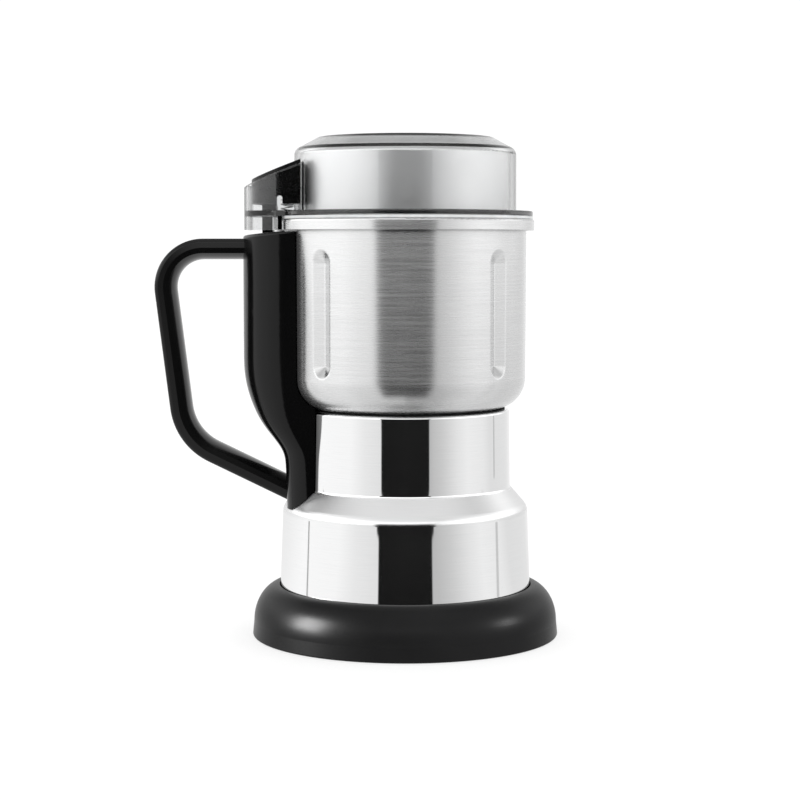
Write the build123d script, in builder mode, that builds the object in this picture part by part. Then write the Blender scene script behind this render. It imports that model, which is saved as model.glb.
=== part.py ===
from build123d import *
import math
import os

os.makedirs("parts", exist_ok=True)

# Blade-type electric grinder with a side handle.
# Millimetres, +Z up. The origin is on the grinding axis at the floor.
# The handle points along -X. The side seen from the front is -Y.

# ---------------------------------------------------------------- dimensions
# base
BASE_Z0 = 0.25           # underside of the base ring
BASE_R = 61.8            # largest radius of the base ring
SHOULDER_RX = 10.7       # elliptical shoulder of the base ring
SHOULDER_RZ = 14.6
SHOULDER_C = (50.6, 6.0)
SOCKET_R = 51.0          # socket that takes the steel housing
LEDGE_Z = 13.4
PLATE_R = 58.1
PLATE_Z0, PLATE_Z1 = 1.4, 3.8
BASE_SCREW_R = 50.4
HOUSING_SCREW_R = 48.6
FOOT_PCR, FOOT_HALF = 44.5, 2.5   # rubber foot ring: mean radius, half width
CORD_Z = 7.6             # height of the cord inlet
CORD_BORE_R = 3.2

# housing
SHEET = 0.7              # sheet thickness of the housing
HOUSING_TOP = 91.6
LIP_R = 30.0             # opening in the top of the housing

# bowl
BOWL_Z0 = 91.95
BOWL_T = 0.8
BOWL_R0, BOWL_R1 = 48.3, 48.5
BOWL_CORNER = 12.4
RIM_R, RIM_Z0, RIM_Z1 = 51.65, 163.1, 167.5
FLUTE_ANGLE = -42.0      # first of four flutes
FLUTE_KEEL = 46.03       # radius where the flanks of a flute meet
FLUTE_SLOPE = 25.0       # slope of its flanks
FLUTE_KEEL_R = 1.0       # rounding of its keel
FLUTE_LIP_R = 1.5        # rounding of its lip
FLUTE_Z0, FLUTE_Z1 = 110.6, 150.2

# motor
SHAFT_R = 3.0
RUN = 0.05               # radial running clearance on the shaft
STACK_Z0, STACK_Z1 = 38.0, 66.0
ARM_R = 18.7
BOLT_R, BOLT_ANGLE = 28.8, 40.0

# handle column
COL_X = -64.67           # outer face of the column
COL_HALF = 23.2          # half width where it meets the bowl
COL_NOSE_R = 19.0        # corner radius of the nose
COL_WALL = 2.4
# sections of the column from the foot up: height, outer face, corner radius
COL_SECTIONS = [
    (52.9, -47.10, 9.8), (57.3, -47.20, 9.8), (61.7, -47.30, 9.8), (66.1, -47.42, 9.8),
    (70.5, -47.65, 9.8), (74.9, -48.45, 9.8), (79.3, -51.05, 10.4), (83.7, -54.65, 11.8),
    (88.1, -57.85, 13.6), (92.5, -60.22, 15.3), (96.9, -62.05, 16.75), (101.3, -63.38, 17.85),
    (105.7, -64.22, 18.6), (110.1, -64.60, 18.93), (114.5, COL_X, COL_NOSE_R),
    (118.9, COL_X, COL_NOSE_R), (123.3, COL_X, COL_NOSE_R),
]
COL_TOP_Z = 161.1
COL_TOP_SLOPE = 0.105
CAVITY_R = 51.2          # bowl-side limit of the cavity in the column
CAVITY_Z0 = 83.7

# D-shaped grip
GRIP_T, GRIP_W = 8.3, 20.0
GRIP_RIDGE, GRIP_FLANK = 0.5, -1.65
GRIP_TOP_Z = 155.75
GRIP_A = (-97.7, 155.75)
GRIP_B = (-88.35, 80.0)
GRIP_END = (-45.0, 58.95)
GRIP_RA, GRIP_RB = 15.2, 23.0

# start button and its linkage
ROD_X = -55.9            # axis of the push rod
TRAVEL = 2.0
EAR_X, EAR_HALF, EAR_R, EAR_WALL = -64.3, 20.0, 17.0, 1.5
EAR_Z0 = 163.3
EAR_PLANE = Plane(origin=(-62.0, 0, 181.2), x_dir=(1, 0, 0.389), z_dir=(-0.389, 0, 1))
BUTTON_RISE = 1.5
BUTTON_GAP = 0.35        # around the button
BUTTON_NOSE_GAP = 1.6    # in front of its nose
LEG_X0, LEG_X1 = -57.0, -52.7
LEG_NECK_X = -51.5       # the leg is wider above the floor of the ear

# lid
FLANGE_Z0, FLANGE_Z1, FLANGE_R = 168.75, 170.75, 51.1
LID_R = 44.5
LID_WALL_R = 42.3        # inside of the lid wall
LID_TOP = 200.0


def polar(radius, angle):
    a = math.radians(angle)
    return (radius * math.cos(a), radius * math.sin(a))


BASE_SCREWS = [polar(BASE_SCREW_R, a) for a in (60, 180, 300)]
HOUSING_SCREWS = [polar(HOUSING_SCREW_R, a) for a in (0, 120, 240)]
BOWL_SCREWS = [polar(22.0, a) for a in (30, 150, 270)]
FEET = [polar(FOOT_PCR, a) for a in (45, 135, 225, 315)]
BOLTS = [polar(BOLT_R, a) for a in (BOLT_ANGLE, BOLT_ANGLE + 180)]

# ---------------------------------------------------------------- base
with BuildPart() as base_ring:
    with BuildSketch(Plane.XZ):
        with BuildLine():
            end_angle = math.degrees(math.acos((SOCKET_R - SHOULDER_C[0]) / SHOULDER_RX))
            Line((58.5, BASE_Z0), (BASE_R - 0.6, BASE_Z0))
            ThreePointArc(
                (BASE_R - 0.6, BASE_Z0),
                (BASE_R - 0.1757, BASE_Z0 + 0.1757),
                (BASE_R, BASE_Z0 + 0.6),
            )
            Line((BASE_R, BASE_Z0 + 0.6), (SHOULDER_C[0] + SHOULDER_RX, SHOULDER_C[1]))
            shoulder = EllipticalCenterArc(
                SHOULDER_C, SHOULDER_RX, SHOULDER_RZ, 0, arc_size=end_angle
            )
            Polyline(
                shoulder @ 1,
                (SOCKET_R, LEDGE_Z),
                (46.0, LEDGE_Z),
                (46.0, 11.0),
                (53.4, 11.0),
                (53.4, 16.6),
                (55.0, 15.6),
                (57.3, 12.0),
                (58.5, 8.0),
                (58.5, BASE_Z0),
            )
        make_face()
    revolve(axis=Axis.Z)
    with BuildSketch(Plane.XY.offset(PLATE_Z1)):
        with Locations(*BASE_SCREWS):
            Circle(2.8)
    extrude(amount=11.2 - PLATE_Z1)
    with BuildSketch(Plane.XY.offset(PLATE_Z1)):
        with Locations(*BASE_SCREWS):
            Circle(1.5)
    extrude(amount=6.4, mode=Mode.SUBTRACT)
    with BuildSketch(Plane.XY.offset(10.0)):
        with Locations(*HOUSING_SCREWS):
            Circle(1.6)
    extrude(amount=4.0, mode=Mode.SUBTRACT)
    with BuildSketch(Plane(origin=(0, 55.0, CORD_Z), x_dir=(1, 0, 0), z_dir=(0, 1, 0))):
        Circle(4.3)
    extrude(amount=9.0, mode=Mode.SUBTRACT)

with BuildPart() as base_plate:
    with BuildSketch(Plane.XY.offset(PLATE_Z0)):
        Circle(PLATE_R)
        with Locations(*FEET):
            Circle(2.5, mode=Mode.SUBTRACT)
        with PolarLocations(24.0, 18):
            SlotOverall(18.0, 3.0, mode=Mode.SUBTRACT)
    extrude(amount=PLATE_Z1 - PLATE_Z0)
    with BuildSketch(Plane.XY.offset(PLATE_Z0)):
        with Locations(*BASE_SCREWS):
            Circle(1.7)
    extrude(amount=PLATE_Z1 - PLATE_Z0, mode=Mode.SUBTRACT)
    with Locations(*[(x, y, PLATE_Z0) for x, y in BASE_SCREWS]):
        Cone(3.2, 1.7, 1.5, align=(Align.CENTER, Align.CENTER, Align.MIN), mode=Mode.SUBTRACT)
    chamfer(base_plate.edges().filter_by(GeomType.CIRCLE).group_by(SortBy.RADIUS)[-1], 0.4)

with BuildPart() as base_screws:
    with Locations(*[(x, y, PLATE_Z0 + 0.1) for x, y in BASE_SCREWS]):
        Cone(3.0, 1.4, 1.5, align=(Align.CENTER, Align.CENTER, Align.MIN))
        Cylinder(1.4, 7.6, align=(Align.CENTER, Align.CENTER, Align.MIN))
        Box(3.0, 0.7, 0.7, align=(Align.CENTER, Align.CENTER, Align.MIN), mode=Mode.SUBTRACT)
        Box(0.7, 3.0, 0.7, align=(Align.CENTER, Align.CENTER, Align.MIN), mode=Mode.SUBTRACT)

with BuildPart() as housing_screws:
    with Locations(*[(x, y, 11.0) for x, y in HOUSING_SCREWS]):
        Cylinder(1.4, 4.8, align=(Align.CENTER, Align.CENTER, Align.MIN))
    with Locations(*[(x, y, 9.2) for x, y in HOUSING_SCREWS]):
        Cylinder(2.6, 1.8, align=(Align.CENTER, Align.CENTER, Align.MIN))

with BuildPart() as foot_ring:
    with BuildSketch(Plane.XY):
        Circle(FOOT_PCR + FOOT_HALF)
        Circle(FOOT_PCR - FOOT_HALF, mode=Mode.SUBTRACT)
    extrude(amount=PLATE_Z0)
    chamfer(foot_ring.edges().filter_by_position(Axis.Z, -0.01, 0.01), 0.4)
    with Locations(*[(x, y, PLATE_Z0 - 0.2) for x, y in FEET]):
        Cylinder(2.3, PLATE_Z1 - PLATE_Z0 + 0.2, align=(Align.CENTER, Align.CENTER, Align.MIN))
    with Locations(*[(x, y, PLATE_Z1) for x, y in FEET]):
        Cylinder(3.4, 1.2, align=(Align.CENTER, Align.CENTER, Align.MIN))

with BuildPart() as cord_grommet:
    with BuildSketch(Plane(origin=(0, 58.4, CORD_Z), x_dir=(1, 0, 0), z_dir=(0, 1, 0))):
        Circle(4.2)
        Circle(CORD_BORE_R, mode=Mode.SUBTRACT)
    extrude(amount=5.8)
    with BuildSketch(Plane(origin=(0, 61.95, CORD_Z), x_dir=(1, 0, 0), z_dir=(0, 1, 0))):
        Circle(5.4)
        Circle(CORD_BORE_R, mode=Mode.SUBTRACT)
    extrude(amount=2.25)
    fillet(
        cord_grommet.edges().filter_by(GeomType.CIRCLE).group_by(SortBy.RADIUS)[-1].sort_by(Axis.Y)[-1:],
        0.8,
    )

# ---------------------------------------------------------------- housing
with BuildPart() as motor_housing:
    with BuildSketch(Plane.XZ):
        with BuildLine():
            FilletPolyline(
                (46.0, LEDGE_Z + 0.05),
                (50.8, LEDGE_Z + 0.05),
                (49.40, 52.30),
                (42.37, 60.50),
                (41.95, HOUSING_TOP),
                (LIP_R, HOUSING_TOP),
                radius=(0.9, 6.0, 1.8, 1.0),
            )
            Line((LIP_R, HOUSING_TOP), (LIP_R, HOUSING_TOP - SHEET))
            FilletPolyline(
                (LIP_R, HOUSING_TOP - SHEET),
                (41.25, HOUSING_TOP - SHEET),
                (41.67, 60.25),
                (48.70, 52.04),
                (50.08, LEDGE_Z + 0.05 + SHEET),
                (46.0, LEDGE_Z + 0.05 + SHEET),
                radius=(0.4, 2.5, 5.3, 0.3),
            )
            Line((46.0, LEDGE_Z + 0.05 + SHEET), (46.0, LEDGE_Z + 0.05))
        make_face()
    revolve(axis=Axis.Z)
    with BuildSketch(Plane.XY.offset(13.0)):
        with Locations(*HOUSING_SCREWS):
            Circle(1.45)
    extrude(amount=2.0, mode=Mode.SUBTRACT)
    with BuildSketch(Plane(origin=(-38.0, 0, 0), x_dir=(0, 1, 0), z_dir=(-1, 0, 0))):
        with Locations((0, -88.0)):
            Circle(2.7)
        with Locations((0, -64.5), (0, -77.0)):
            Circle(1.6)
    extrude(amount=9.0, mode=Mode.SUBTRACT)

# ---------------------------------------------------------------- bowl
# section of a flute from its keel outwards, x across and y along the radius
TAN, COS, SIN = (f(math.radians(FLUTE_SLOPE)) for f in (math.tan, math.cos, math.sin))
FLUTE_TOP = 51.0


def flute_half(keel, keel_r):
    c = keel + keel_r / COS
    foot = (keel_r * SIN, c - keel_r * COS)
    return c, c - keel_r, foot, ((FLUTE_TOP - keel) / TAN, FLUTE_TOP)


with BuildPart() as flute_outside:
    centre, low, foot, far = flute_half(FLUTE_KEEL, FLUTE_KEEL_R)
    for i in range(4):
        rx, ry = polar(1.0, FLUTE_ANGLE + 90 * i)
        for z, sign in ((FLUTE_Z0, 1), (FLUTE_Z1, -1)):
            with BuildSketch(Plane(origin=(0, 0, z), x_dir=(ry, -rx, 0), z_dir=(0, 0, 1))):
                with BuildLine():
                    Polyline((0, foot[1]), foot, far, (0, FLUTE_TOP), close=True)
                make_face()
            revolve(axis=Axis((0, 0, z), (sign * rx, sign * ry, 0)), revolution_arc=180)
            with Locations((centre * rx, centre * ry, z)):
                Sphere(centre - low)
        with BuildSketch(Plane(origin=(0, 0, FLUTE_Z0), x_dir=(ry, -rx, 0), z_dir=(0, 0, 1))):
            with BuildLine():
                TangentArc((0, low), foot, tangent=(1, 0))
                TangentArc((0, low), (-foot[0], foot[1]), tangent=(-1, 0))
                Polyline(foot, far, (-far[0], far[1]), (-foot[0], foot[1]))
            make_face()
        extrude(amount=FLUTE_Z1 - FLUTE_Z0)

with BuildPart() as flute_inside:
    centre, low, foot, far = flute_half(FLUTE_KEEL - BOWL_T / COS, FLUTE_KEEL_R + BOWL_T)
    for i in range(4):
        rx, ry = polar(1.0, FLUTE_ANGLE + 90 * i)
        for z, sign in ((FLUTE_Z0, 1), (FLUTE_Z1, -1)):
            with BuildSketch(Plane(origin=(0, 0, z), x_dir=(ry, -rx, 0), z_dir=(0, 0, 1))):
                with BuildLine():
                    Polyline((0, foot[1]), foot, far, (0, FLUTE_TOP), close=True)
                make_face()
            revolve(axis=Axis((0, 0, z), (sign * rx, sign * ry, 0)), revolution_arc=180)
            with Locations((centre * rx, centre * ry, z)):
                Sphere(centre - low)
        with BuildSketch(Plane(origin=(0, 0, FLUTE_Z0), x_dir=(ry, -rx, 0), z_dir=(0, 0, 1))):
            with BuildLine():
                TangentArc((0, low), foot, tangent=(1, 0))
                TangentArc((0, low), (-foot[0], foot[1]), tangent=(-1, 0))
                Polyline(foot, far, (-far[0], far[1]), (-foot[0], foot[1]))
            make_face()
        extrude(amount=FLUTE_Z1 - FLUTE_Z0)

with BuildPart() as bowl_inside:
    with BuildSketch(Plane.XZ):
        with BuildLine():
            FilletPolyline(
                (0, RIM_Z1 + 5),
                (0, BOWL_Z0 + BOWL_T),
                (BOWL_R0 - BOWL_T, BOWL_Z0 + BOWL_T),
                (BOWL_R1 - BOWL_T, RIM_Z1 - 0.7),
                (BOWL_R1 - BOWL_T + 0.7, RIM_Z1),
                (BOWL_R1 - BOWL_T + 0.7, RIM_Z1 + 5),
                radius=(0, 0, BOWL_CORNER - BOWL_T, 0.5, 0.5, 0),
                close=True,
            )
        make_face()
    revolve(axis=Axis.Z)
    add(flute_inside.part, mode=Mode.SUBTRACT)
    fillet(
        [
            e
            for e in bowl_inside.edges()
            if e.bounding_box().min.Z > FLUTE_Z0 - 8
            and e.bounding_box().max.Z < FLUTE_Z1 + 8
            and abs(math.hypot(e.center().X, e.center().Y) - BOWL_R0 + BOWL_T) < 1.0
        ],
        FLUTE_LIP_R - BOWL_T,
    )

with BuildPart() as bowl:
    with BuildSketch(Plane.XZ):
        with BuildLine():
            FilletPolyline(
                (0, BOWL_Z0),
                (BOWL_R0, BOWL_Z0),
                (BOWL_R1, RIM_Z1 - BOWL_T),
                (RIM_R - BOWL_T, RIM_Z1 - BOWL_T),
                (RIM_R - BOWL_T, RIM_Z0),
                (RIM_R, RIM_Z0),
                (RIM_R, RIM_Z1),
                (0, RIM_Z1),
                radius=(0, BOWL_CORNER, 0, 0.4, 0.25, 0.25, 0.8, 0),
                close=True,
            )
        make_face()
    revolve(axis=Axis.Z)
    add(flute_outside.part, mode=Mode.SUBTRACT)
    fillet(
        [
            e
            for e in bowl.edges()
            if e.bounding_box().min.Z > FLUTE_Z0 - 8
            and e.bounding_box().max.Z < FLUTE_Z1 + 8
            and abs(math.hypot(e.center().X, e.center().Y) - BOWL_R0) < 1.0
        ],
        FLUTE_LIP_R,
    )
    add(bowl_inside.part, mode=Mode.SUBTRACT)
    with BuildSketch(Plane.XY.offset(BOWL_Z0 - 1)):
        Circle(6.3)
        with Locations(*BOWL_SCREWS):
            Circle(2.0)
    extrude(amount=3.0, mode=Mode.SUBTRACT)

with BuildPart() as bowl_gasket:
    with BuildSketch(Plane.XY.offset(HOUSING_TOP)):
        Circle(40.2)
        Circle(30.5, mode=Mode.SUBTRACT)
    extrude(amount=BOWL_Z0 - HOUSING_TOP)

with BuildPart() as bowl_screws:
    with Locations(*[(x, y, BOWL_Z0 + BOWL_T) for x, y in BOWL_SCREWS]):
        Cylinder(3.2, 1.8, align=(Align.CENTER, Align.CENTER, Align.MIN))
        Cylinder(1.7, 9.0, align=(Align.CENTER, Align.CENTER, Align.MAX))
    fillet(
        bowl_screws.edges().filter_by(GeomType.CIRCLE).sort_by(Axis.Z)[-3:],
        0.7,
    )
    with Locations(*[(x, y, BOWL_Z0 + BOWL_T + 1.8) for x, y in BOWL_SCREWS]):
        Box(3.2, 0.8, 0.9, align=(Align.CENTER, Align.CENTER, Align.MAX), mode=Mode.SUBTRACT)
        Box(0.8, 3.2, 0.9, align=(Align.CENTER, Align.CENTER, Align.MAX), mode=Mode.SUBTRACT)

with BuildPart() as shaft_seal:
    with BuildSketch(Plane.XZ):
        with BuildLine():
            Polyline(
                (SHAFT_R + RUN, BOWL_Z0 + 0.1),
                (6.1, BOWL_Z0 + 0.1),
                (6.1, BOWL_Z0 + BOWL_T),
                (10.0, BOWL_Z0 + BOWL_T),
                (10.0, 93.8),
                (9.4, 94.3),
                (6.5, 94.3),
                (4.6, 96.2),
                (SHAFT_R + RUN, 96.2),
                close=True,
            )
        make_face()
    revolve(axis=Axis.Z)

# ---------------------------------------------------------------- blades
with BuildPart() as blade_spacer:
    with BuildSketch(Plane.XY.offset(96.6)):
        Circle(5.0)
        Circle(SHAFT_R, mode=Mode.SUBTRACT)
    extrude(amount=99.5 - 96.6)

with BuildPart() as blade_lower:
    with BuildSketch(Plane.XZ.offset(-8)):
        with BuildLine():
            Polyline(
                (-38, 97.4), (-22, 99.5), (22, 99.5), (38, 97.4),
                (38, 98.9), (22, 101.0), (-22, 101.0), (-38, 98.9),
                close=True,
            )
        make_face()
    extrude(amount=16)
    with BuildSketch(Plane.XY.offset(90)):
        Circle(8.0)
        with BuildLine():
            FilletPolyline(
                (-37.0, -2.2), (-36.2, 1.0), (-7.0, 6.4), (7.0, 4.6),
                (37.0, 2.2), (36.2, -1.0), (7.0, -6.4), (-7.0, -4.6),
                radius=(0.8, 2.0, 3.0, 3.0, 0.8, 2.0, 3.0, 3.0),
                close=True,
            )
        make_face()
        Circle(SHAFT_R, mode=Mode.SUBTRACT)
    extrude(amount=20, mode=Mode.INTERSECT)

with BuildPart() as blade_upper:
    with BuildSketch(Plane.YZ.offset(-8)):
        with BuildLine():
            Polyline(
                (-38, 110.6), (-14, 101.0), (14, 101.0), (38, 110.6),
                (38, 112.2), (14, 102.5), (-14, 102.5), (-38, 112.2),
                close=True,
            )
        make_face()
    extrude(amount=16)
    with BuildSketch(Plane.XY.offset(90)):
        Circle(8.0)
        with BuildLine():
            FilletPolyline(
                (2.2, -34.0), (-1.0, -33.2), (-6.4, -7.0), (-4.6, 7.0),
                (-2.2, 34.0), (1.0, 33.2), (6.4, 7.0), (4.6, -7.0),
                radius=(0.8, 2.0, 3.0, 3.0, 0.8, 2.0, 3.0, 3.0),
                close=True,
            )
        make_face()
        Circle(SHAFT_R, mode=Mode.SUBTRACT)
    extrude(amount=30, mode=Mode.INTERSECT)

with BuildPart() as blade_washer:
    with BuildSketch(Plane.XY.offset(102.5)):
        Circle(6.5)
        Circle(SHAFT_R, mode=Mode.SUBTRACT)
    extrude(amount=1.0)

with BuildPart() as blade_nut:
    with BuildSketch(Plane.XY.offset(103.5)):
        RegularPolygon(5.77, 6)
    extrude(amount=4.6)
    with BuildSketch(Plane.XY.offset(108.1)):
        Circle(4.6)
    extrude(amount=2.0)
    fillet(blade_nut.edges().filter_by(GeomType.CIRCLE).sort_by(Axis.Z)[-1:], 1.6)
    with BuildSketch(Plane.XY.offset(103.5)):
        Circle(SHAFT_R)
    extrude(amount=4.0, mode=Mode.SUBTRACT)

# ---------------------------------------------------------------- motor, turning
with BuildPart() as motor_shaft:
    with BuildSketch(Plane.XY.offset(12.4)):
        Circle(SHAFT_R)
    extrude(amount=107.2 - 12.4)
    chamfer(motor_shaft.edges().filter_by(GeomType.CIRCLE), 0.4)
    with BuildSketch(Plane.XY.offset(81.2)):
        Circle(5.0)
    extrude(amount=0.6)

with BuildPart() as armature_core:
    with BuildSketch(Plane.XY.offset(STACK_Z0)):
        Circle(ARM_R)
        with PolarLocations(ARM_R - 3.4, 12):
            RectangleRounded(5.4, 3.2, 1.2, mode=Mode.SUBTRACT)
        with PolarLocations(ARM_R, 12):
            Rectangle(4.0, 1.4, mode=Mode.SUBTRACT)
        Circle(SHAFT_R, mode=Mode.SUBTRACT)
    extrude(amount=STACK_Z1 - STACK_Z0)

with BuildPart() as armature_winding:
    with BuildSketch(Plane.XY.offset(30.8)):
        Circle(16.8)
        Circle(4.5, mode=Mode.SUBTRACT)
    extrude(amount=STACK_Z0 - 0.2 - 30.8)
    with BuildSketch(Plane.XY.offset(STACK_Z1 + 0.2)):
        Circle(16.8)
        Circle(4.5, mode=Mode.SUBTRACT)
    extrude(amount=7.6)
    fillet(armature_winding.edges().filter_by(GeomType.CIRCLE).group_by(SortBy.RADIUS)[-1], 2.4)
    with BuildSketch(Plane.XY.offset(36.0)):
        with PolarLocations(ARM_R - 3.6, 12):
            RectangleRounded(4.2, 2.6, 0.9)
    extrude(amount=32.0)

with BuildPart() as commutator:
    with BuildSketch(Plane.XY.offset(22.0)):
        Circle(9.0)
        with PolarLocations(9.0, 24):
            Rectangle(1.6, 0.4, mode=Mode.SUBTRACT)
        Circle(SHAFT_R, mode=Mode.SUBTRACT)
    extrude(amount=7.4)
    with BuildSketch(Plane.XY.offset(29.4)):
        Circle(10.2)
        Circle(SHAFT_R, mode=Mode.SUBTRACT)
    extrude(amount=1.2)

with BuildPart() as cooling_fan:
    with BuildSketch(Plane.XY.offset(75.2)):
        Circle(24.0)
    extrude(amount=1.2)
    with BuildSketch(Plane.XY.offset(76.0)):
        Circle(6.5)
        with PolarLocations(15.5, 12):
            Rectangle(16.0, 1.1, rotation=25)
    extrude(amount=5.0)
    with BuildSketch(Plane.XY.offset(75.2)):
        Circle(24.0)
        Circle(SHAFT_R, mode=Mode.SUBTRACT)
    extrude(amount=10.0, mode=Mode.INTERSECT)

# ---------------------------------------------------------------- motor, fixed
with BuildPart() as stator_core:
    with BuildSketch(Plane.XY.offset(STACK_Z0)):
        Circle(33.0)
        Rectangle(66.0, 58.0, mode=Mode.INTERSECT)
        Circle(ARM_R + 0.7, mode=Mode.SUBTRACT)
        with Locations(*BOLTS):
            Circle(1.7, mode=Mode.SUBTRACT)
        with BuildLine():
            a = CenterArc((0, 0), 25.2, 60, 60)
            b = CenterArc((0, 0), 18.0, 60, 60)
            Line(a @ 0, b @ 0)
            Line(a @ 1, b @ 1)
        make_face(mode=Mode.SUBTRACT)
        with BuildLine():
            a = CenterArc((0, 0), 25.2, 240, 60)
            b = CenterArc((0, 0), 18.0, 240, 60)
            Line(a @ 0, b @ 0)
            Line(a @ 1, b @ 1)
        make_face(mode=Mode.SUBTRACT)
    extrude(amount=STACK_Z1 - STACK_Z0)

with BuildPart() as stator_coils:
    for side in (0, 180):
        for z0, z1 in ((31.6, 37.5), (66.5, 72.4)):
            with BuildSketch(Plane.XY.offset(z0)):
                with BuildLine():
                    a = CenterArc((0, 0), 24.7, side - 87, 174)
                    b = CenterArc((0, 0), 19.9, side - 87, 174)
                    Line(a @ 0, b @ 0)
                    Line(a @ 1, b @ 1)
                make_face()
            extrude(amount=z1 - z0)
        for start in (side - 87, side + 62):
            with BuildSketch(Plane.XY.offset(36.0)):
                with BuildLine():
                    a = CenterArc((0, 0), 24.7, start, 25)
                    b = CenterArc((0, 0), 19.9, start, 25)
                    Line(a @ 0, b @ 0)
                    Line(a @ 1, b @ 1)
                make_face()
            extrude(amount=32.0)

with BuildPart() as motor_upper_bracket:
    with BuildSketch(Plane.XY.offset(87.6)):
        Circle(36.0)
        with PolarLocations(20.0, 3, 90):
            Circle(5.0, mode=Mode.SUBTRACT)
    extrude(amount=HOUSING_TOP - SHEET - 87.6)
    with BuildSketch(Plane.XY.offset(83.0)):
        with Locations(*BOWL_SCREWS):
            Circle(4.2)
    extrude(amount=BOWL_Z0 - 83.0)
    with BuildSketch(Plane.XY.offset(82.0)):
        Circle(10.0)
    extrude(amount=BOWL_Z0 - 0.1 - 82.0)
    with BuildSketch(Plane.XY.offset(STACK_Z1)):
        with Locations(*BOLTS):
            Circle(3.5)
    extrude(amount=88.0 - STACK_Z1)
    with BuildSketch(Plane.XY.offset(82.0)):
        Circle(6.0)
    extrude(amount=9.0, mode=Mode.SUBTRACT)
    with BuildSketch(Plane.XY.offset(90.0)):
        Circle(3.6)
    extrude(amount=3.0, mode=Mode.SUBTRACT)
    with BuildSketch(Plane.XY.offset(STACK_Z1)):
        with Locations(*BOLTS):
            Circle(1.6)
    extrude(amount=24.0, mode=Mode.SUBTRACT)
    with BuildSketch(Plane.XY.offset(83.0)):
        with Locations(*BOWL_SCREWS):
            Circle(1.8)
    extrude(amount=12.0, mode=Mode.SUBTRACT)

with BuildPart() as upper_bush:
    with BuildSketch(Plane.XY.offset(82.4)):
        Circle(6.0)
        Circle(SHAFT_R + RUN, mode=Mode.SUBTRACT)
    extrude(amount=8.5)

with BuildPart() as motor_lower_bracket:
    with BuildSketch(Plane.XY.offset(15.0)):
        Circle(33.0)
        with PolarLocations(20.0, 4, 85):
            Circle(5.0, mode=Mode.SUBTRACT)
    extrude(amount=3.0)
    with BuildSketch(Plane.XY.offset(11.0)):
        Circle(8.0)
    extrude(amount=10.0)
    with BuildSketch(Plane.XY.offset(15.0)):
        with Locations(*BOLTS):
            Circle(3.5)
    extrude(amount=STACK_Z0 - 15.0)
    with BuildSketch(Plane.XY.offset(12.0)):
        Circle(5.0)
    extrude(amount=8.0, mode=Mode.SUBTRACT)
    with BuildSketch(Plane.XY.offset(19.0)):
        Circle(3.6)
    extrude(amount=3.0, mode=Mode.SUBTRACT)
    with BuildSketch(Plane.XY.offset(14.0)):
        with Locations(*BOLTS):
            Circle(1.6)
    extrude(amount=25.0, mode=Mode.SUBTRACT)

with BuildPart() as lower_bush:
    with BuildSketch(Plane.XY.offset(12.2)):
        Circle(5.0)
        Circle(SHAFT_R + RUN, mode=Mode.SUBTRACT)
    extrude(amount=7.6)

with BuildPart() as motor_bolts:
    with BuildSketch(Plane.XY.offset(15.0)):
        with Locations(*BOLTS):
            Circle(1.5)
    extrude(amount=74.0)
    with BuildSketch(Plane.XY.offset(12.4)):
        with Locations(*BOLTS):
            RegularPolygon(3.0, 6)
    extrude(amount=2.6)

with BuildPart() as brush_holders:
    with Locations((0, 20.0, 18.0), (0, -20.0, 18.0)):
        Box(9.0, 16.0, 12.4, align=(Align.CENTER, Align.CENTER, Align.MIN))
    with Locations((0, 19.0, 22.9), (0, -19.0, 22.9)):
        Box(5.8, 15.2, 5.4, align=(Align.CENTER, Align.CENTER, Align.MIN), mode=Mode.SUBTRACT)

with BuildPart() as carbon_brushes:
    with Locations((0, 14.5, 23.1), (0, -14.5, 23.1)):
        Box(5.4, 10.2, 5.0, align=(Align.CENTER, Align.CENTER, Align.MIN))

with BuildPart() as brush_springs:
    for side in (1, -1):
        with BuildLine():
            coil = Helix(1.3, 6.0, 1.9, center=(0, side * 19.95, 25.6), direction=(0, side, 0))
        with BuildSketch(Plane(origin=coil @ 0, z_dir=coil % 0)):
            Circle(0.25)
        sweep(path=coil, is_frenet=True)

# ---------------------------------------------------------------- handle
# space kept for the bowl and the housing, with a small gap
with BuildPart() as body_space:
    with BuildSketch(Plane.XZ):
        with BuildLine():
            Polyline(
                (0, 40.0), (49.75, 40.0), (49.6, 52.40), (42.6, 60.62), (42.2, 93.3)
            )
            ThreePointArc((42.2, 93.3), (46.15, 96.75), (48.55, 104.3))
            Polyline(
                (48.55, 104.3), (48.8, 162.6), (52.1, 162.6), (52.1, 175.0), (0, 175.0), (0, 40.0)
            )
        make_face()
    revolve(axis=Axis.Z)

# cavity in the column, kept clear of the bowl by a wall
COL_TOP = Plane(
    origin=(COL_X, 0, COL_TOP_Z), x_dir=(1, 0, COL_TOP_SLOPE), z_dir=(-COL_TOP_SLOPE, 0, 1)
)
CAV_HALF = COL_HALF - COL_WALL
with BuildPart() as column_cavity:
    for z, x, r in COL_SECTIONS:
        if z < CAVITY_Z0:
            continue
        with BuildSketch(Plane.XY.offset(z)):
            with BuildLine():
                FilletPolyline(
                    (-36.0, -CAV_HALF), (x + COL_WALL, -CAV_HALF),
                    (x + COL_WALL, CAV_HALF), (-36.0, CAV_HALF),
                    radius=(0, r - COL_WALL, r - COL_WALL, 0),
                    close=True,
                )
            make_face()
    loft()
    extrude(faces().sort_by(Axis.Z)[-1], amount=44.0)
    split(bisect_by=COL_TOP.offset(-COL_WALL), keep=Keep.BOTTOM)
    with BuildSketch(Plane.XY.offset(CAVITY_Z0 - 5)):
        Circle(CAVITY_R)
    extrude(amount=90, mode=Mode.SUBTRACT)

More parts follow.
